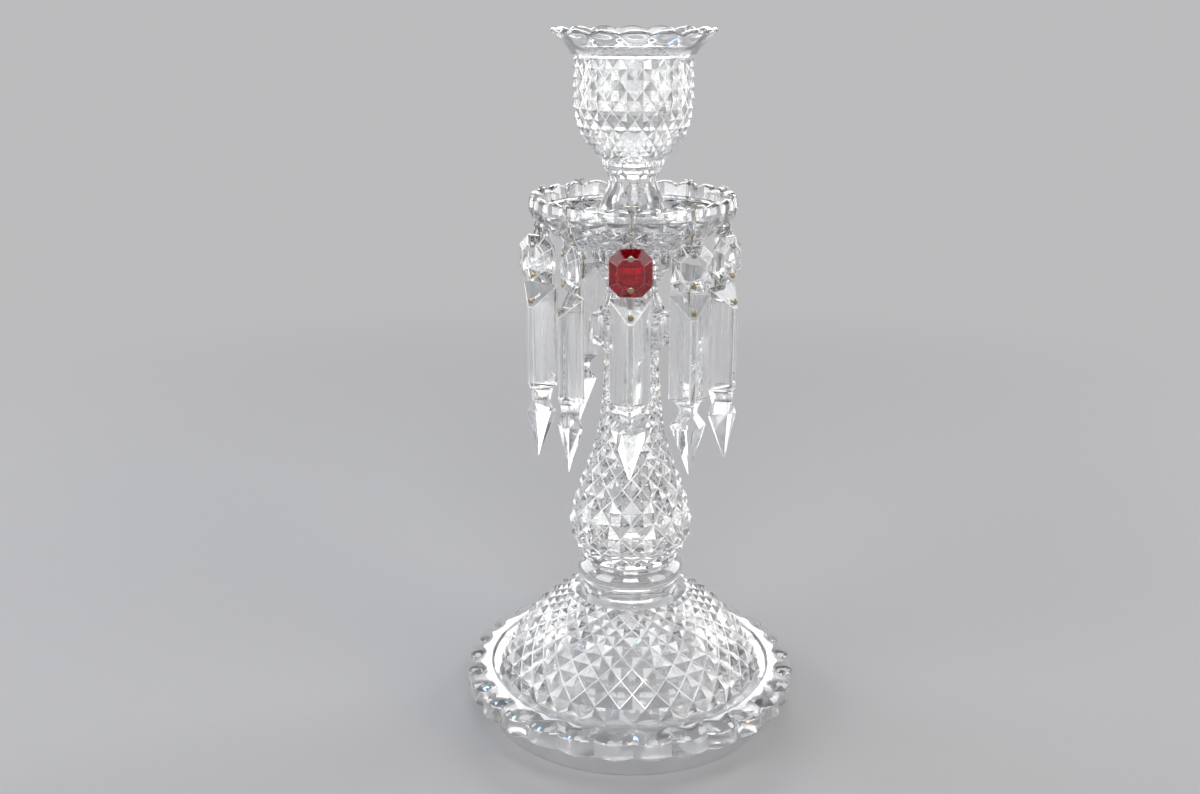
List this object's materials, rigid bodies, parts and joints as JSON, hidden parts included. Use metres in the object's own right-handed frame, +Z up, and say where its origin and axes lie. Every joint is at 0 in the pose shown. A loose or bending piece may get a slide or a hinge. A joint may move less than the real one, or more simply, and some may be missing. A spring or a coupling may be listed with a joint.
{
  "type": "candlestick",
  "caption": "Crystal candlestick with a hollow domed foot, a baluster column, a drip pan hung with swinging prism chains, and a lift-out candle cup.",
  "frame": {"origin": "centre of the base plate's underside, on the surface that the holder stands on", "axes": "+Z up along the holder's axis, -Y towards the ruby chain"},
  "size_m": [0.149, 0.149, 0.3036],
  "materials": {
    "crystal": "clear lead crystal, pressed diamonds and polished facets",
    "ruby_crystal": "ruby red lead crystal, polished facets",
    "wire": "pale brass wire and pin heads",
    "base_plate": "satin grey metal"
  },
  "bodies": {
    "stand": {"base_plate": "base_plate", "foot": "crystal", "column": "crystal"},
    "pan": {"drip_pan": "crystal", "hanger_01": "wire", "hanger_02": "wire", "hanger_03": "wire", "hanger_04": "wire", "hanger_05": "wire", "hanger_06": "wire", "hanger_07": "wire", "hanger_08": "wire", "hanger_09": "wire", "hanger_10": "wire"},
    "cup": {"candle_cup": "crystal"},
    "octagon_01": {"upper_link_01": "wire", "octagon_01": "ruby_crystal"},
    "prism_01": {"lower_link_01": "wire", "prism_01": "crystal"},
    "octagon_02": {"upper_link_02": "wire", "octagon_02": "crystal"},
    "prism_02": {"lower_link_02": "wire", "prism_02": "crystal"},
    "octagon_03": {"upper_link_03": "wire", "octagon_03": "crystal"},
    "prism_03": {"lower_link_03": "wire", "prism_03": "crystal"},
    "octagon_04": {"upper_link_04": "wire", "octagon_04": "crystal"},
    "prism_04": {"lower_link_04": "wire", "prism_04": "crystal"},
    "octagon_05": {"upper_link_05": "wire", "octagon_05": "crystal"},
    "prism_05": {"lower_link_05": "wire", "prism_05": "crystal"},
    "octagon_06": {"upper_link_06": "wire", "octagon_06": "crystal"},
    "prism_06": {"lower_link_06": "wire", "prism_06": "crystal"},
    "octagon_07": {"upper_link_07": "wire", "octagon_07": "crystal"},
    "prism_07": {"lower_link_07": "wire", "prism_07": "crystal"},
    "octagon_08": {"upper_link_08": "wire", "octagon_08": "crystal"},
    "prism_08": {"lower_link_08": "wire", "prism_08": "crystal"},
    "octagon_09": {"upper_link_09": "wire", "octagon_09": "crystal"},
    "prism_09": {"lower_link_09": "wire", "prism_09": "crystal"},
    "octagon_10": {"upper_link_10": "wire", "octagon_10": "crystal"},
    "prism_10": {"lower_link_10": "wire", "prism_10": "crystal"}
  },
  "joints": [
    {"name": "pan_turn", "type": "hinge", "parent": "stand", "child": "pan", "pos_m": [0, 0, 0.2148], "axis": [0, 0, 1], "continuous": true},
    {"name": "cup_lift", "type": "slide", "parent": "pan", "child": "cup", "axis": [0, 0, 1], "range_m": [0, 0.06]},
    {"name": "octagon_swing_01", "type": "hinge", "parent": "pan", "child": "octagon_01", "pos_m": [-0.00165, -0.04117, 0.2242], "axis": [-1, 0.0052, 0], "range_deg": [-4, 20]},
    {"name": "prism_swing_01", "type": "hinge", "parent": "octagon_01", "child": "prism_01", "pos_m": [-0.00165, -0.04117, 0.2055], "axis": [-0.0052, -1, 0], "range_deg": [-2.5, 2.5]},
    {"name": "octagon_swing_02", "type": "hinge", "parent": "pan", "child": "octagon_02", "pos_m": [0.02286, -0.03428, 0.2242], "axis": [-0.9826, -0.1857, 0], "range_deg": [-4, 20]},
    {"name": "prism_swing_02", "type": "hinge", "parent": "octagon_02", "child": "prism_02", "pos_m": [0.02286, -0.03428, 0.2055], "axis": [0.1857, -0.9826, 0], "range_deg": [-2.5, 2.5]},
    {"name": "octagon_swing_03", "type": "hinge", "parent": "pan", "child": "octagon_03", "pos_m": [0.03864, -0.01429, 0.2242], "axis": [-0.6858, -0.7278, 0], "range_deg": [-4, 20]},
    {"name": "prism_swing_03", "type": "hinge", "parent": "octagon_03", "child": "prism_03", "pos_m": [0.03864, -0.01429, 0.2055], "axis": [0.7278, -0.6858, 0], "range_deg": [-2.5, 2.5]},
    {"name": "octagon_swing_04", "type": "hinge", "parent": "pan", "child": "octagon_04", "pos_m": [0.03966, 0.01115, 0.2242], "axis": [0.3697, -0.9291, 0], "range_deg": [-4, 20]},
    {"name": "prism_swing_04", "type": "hinge", "parent": "octagon_04", "child": "prism_04", "pos_m": [0.03966, 0.01115, 0.2055], "axis": [0.9291, 0.3697, 0], "range_deg": [-2.5, 2.5]},
    {"name": "octagon_swing_05", "type": "hinge", "parent": "pan", "child": "octagon_05", "pos_m": [0.02553, 0.03233, 0.2242], "axis": [0.6782, -0.7349, 0], "range_deg": [-4, 20]},
    {"name": "prism_swing_05", "type": "hinge", "parent": "octagon_05", "child": "prism_05", "pos_m": [0.02553, 0.03233, 0.2055], "axis": [0.7349, 0.6782, 0], "range_deg": [-2.5, 2.5]},
    {"name": "octagon_swing_06", "type": "hinge", "parent": "pan", "child": "octagon_06", "pos_m": [0.00165, 0.04117, 0.2242], "axis": [0.9857, 0.1685, 0], "range_deg": [-4, 20]},
    {"name": "prism_swing_06", "type": "hinge", "parent": "octagon_06", "child": "prism_06", "pos_m": [0.00165, 0.04117, 0.2055], "axis": [-0.1685, 0.9857, 0], "range_deg": [-2.5, 2.5]},
    {"name": "octagon_swing_07", "type": "hinge", "parent": "pan", "child": "octagon_07", "pos_m": [-0.02286, 0.03428, 0.2242], "axis": [0.8771, 0.4802, 0], "range_deg": [-4, 20]},
    {"name": "prism_swing_07", "type": "hinge", "parent": "octagon_07", "child": "prism_07", "pos_m": [-0.02286, 0.03428, 0.2055], "axis": [-0.4802, 0.8771, 0], "range_deg": [-2.5, 2.5]},
    {"name": "octagon_swing_08", "type": "hinge", "parent": "pan", "child": "octagon_08", "pos_m": [-0.03864, 0.01429, 0.2242], "axis": [0.213, 0.977, 0], "range_deg": [-4, 20]},
    {"name": "prism_swing_08", "type": "hinge", "parent": "octagon_08", "child": "prism_08", "pos_m": [-0.03864, 0.01429, 0.2055], "axis": [-0.977, 0.213, 0], "range_deg": [-2.5, 2.5]},
    {"name": "octagon_swing_09", "type": "hinge", "parent": "pan", "child": "octagon_09", "pos_m": [-0.03966, -0.01115, 0.2242], "axis": [-0.8358, 0.549, 0], "range_deg": [-4, 8]},
    {"name": "prism_swing_09", "type": "hinge", "parent": "octagon_09", "child": "prism_09", "pos_m": [-0.03966, -0.01115, 0.2055], "axis": [-0.549, -0.8358, 0], "range_deg": [-2.5, 2.5]},
    {"name": "octagon_swing_10", "type": "hinge", "parent": "pan", "child": "octagon_10", "pos_m": [-0.02553, -0.03233, 0.2242], "axis": [-0.3535, 0.9354, 0], "range_deg": [-4, 8]},
    {"name": "prism_swing_10", "type": "hinge", "parent": "octagon_10", "child": "prism_10", "pos_m": [-0.02553, -0.03233, 0.2055], "axis": [-0.9354, -0.3535, 0], "range_deg": [-2.5, 2.5]}
  ]
}
